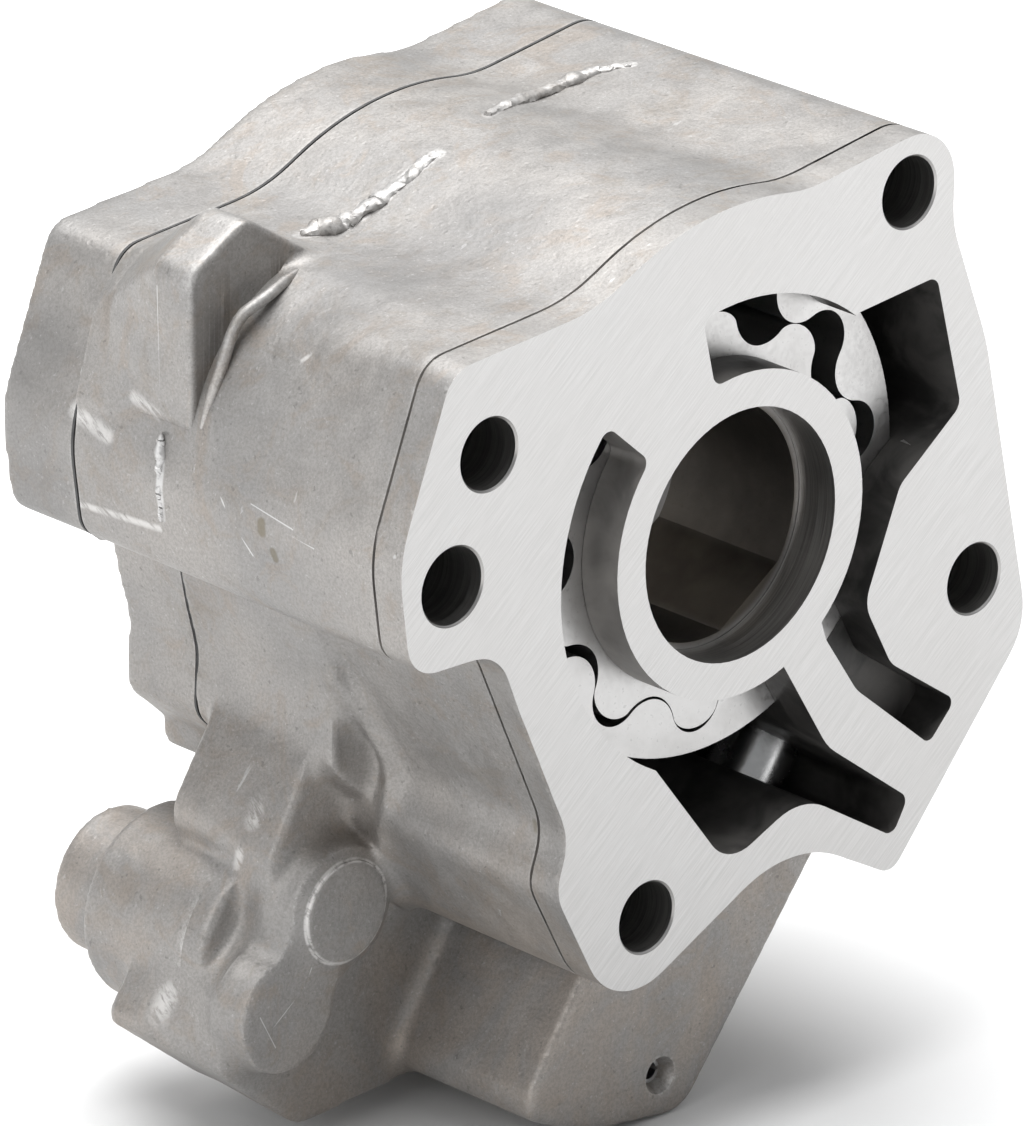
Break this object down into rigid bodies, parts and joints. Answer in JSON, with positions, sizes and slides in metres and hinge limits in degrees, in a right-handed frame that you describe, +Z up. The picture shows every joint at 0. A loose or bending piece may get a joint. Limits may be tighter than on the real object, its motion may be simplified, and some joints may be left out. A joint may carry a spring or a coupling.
{
  "type": "engine oil pump",
  "caption": "Crank-driven engine oil pump: a die-cast body with gerotor sets, separator plates, a rear cover and a sprung relief valve.",
  "frame": {"origin": "centre of the crank bore on the machined mounting face", "axes": "-Y out of the mounting face along the crank axis, +Z up, +X to the right when the face is looked at"},
  "size_m": [0.0834, 0.0574, 0.0987],
  "materials": {
    "cast_aluminium": "as-cast, with a brushed machined face",
    "gasket_sheet": "matte",
    "screw_steel": "black oxide",
    "hard_steel": "ground",
    "sintered_steel": "satin sintered",
    "plate_steel": "ground",
    "spring_steel": "satin",
    "ground_steel": "polished",
    "seal_rubber": "matte"
  },
  "bodies": {
    "housing": {"pump_body": "cast_aluminium", "rear_cover": "cast_aluminium", "cover_gasket": "gasket_sheet", "cover_screws": "screw_steel", "cover_dowels": "hard_steel", "separator_plate_1": "plate_steel", "separator_plate_2": "plate_steel", "separator_plate_3": "plate_steel", "separator_pin": "hard_steel", "wave_spring": "spring_steel", "relief_plug": "plate_steel", "relief_plug_ring": "seal_rubber", "relief_pin": "spring_steel", "relief_spring": "spring_steel"},
    "feed_inner": {"feed_inner_rotor": "sintered_steel"},
    "feed_outer": {"feed_outer_rotor": "sintered_steel"},
    "scavenge_inner_1": {"scavenge_inner_rotor_1": "sintered_steel"},
    "scavenge_outer_1": {"scavenge_outer_rotor_1": "sintered_steel"},
    "scavenge_inner_2": {"scavenge_inner_rotor_2": "sintered_steel"},
    "scavenge_outer_2": {"scavenge_outer_rotor_2": "sintered_steel"},
    "plunger": {"relief_plunger": "ground_steel"}
  },
  "joints": [
    {"name": "crank_spin", "type": "hinge", "parent": "housing", "child": "feed_inner", "pos_m": [0, 0, 0], "axis": [0, 1, 0], "continuous": true},
    {"name": "feed_outer_spin", "type": "hinge", "parent": "housing", "child": "feed_outer", "pos_m": [-0.00019, 0, 0.00177], "axis": [0, 1, 0], "continuous": true},
    {"name": "scavenge_inner_1_spin", "type": "hinge", "parent": "housing", "child": "scavenge_inner_1", "pos_m": [0, 0, 0], "axis": [0, 1, 0], "continuous": true},
    {"name": "scavenge_outer_1_spin", "type": "hinge", "parent": "housing", "child": "scavenge_outer_1", "pos_m": [-0.00019, 0, 0.00177], "axis": [0, 1, 0], "continuous": true},
    {"name": "scavenge_inner_2_spin", "type": "hinge", "parent": "housing", "child": "scavenge_inner_2", "pos_m": [0, 0, 0], "axis": [0, 1, 0], "continuous": true},
    {"name": "scavenge_outer_2_spin", "type": "hinge", "parent": "housing", "child": "scavenge_outer_2", "pos_m": [-0.00019, 0, 0.00177], "axis": [0, 1, 0], "continuous": true},
    {"name": "relief_slide", "type": "slide", "parent": "housing", "child": "plunger", "axis": [-0.592, 0, -0.8059], "range_m": [0, 0.008], "stiffness_N_per_m": 2000, "springref_m": -0.0055, "deforming": ["relief_spring"]}
  ],
  "couplings": [
    {"joint": "feed_outer_spin", "follows": "crank_spin", "ratio": 0.90909},
    {"joint": "scavenge_inner_1_spin", "follows": "crank_spin", "ratio": 1},
    {"joint": "scavenge_outer_1_spin", "follows": "crank_spin", "ratio": 0.90909},
    {"joint": "scavenge_inner_2_spin", "follows": "crank_spin", "ratio": 1},
    {"joint": "scavenge_outer_2_spin", "follows": "crank_spin", "ratio": 0.90909}
  ]
}
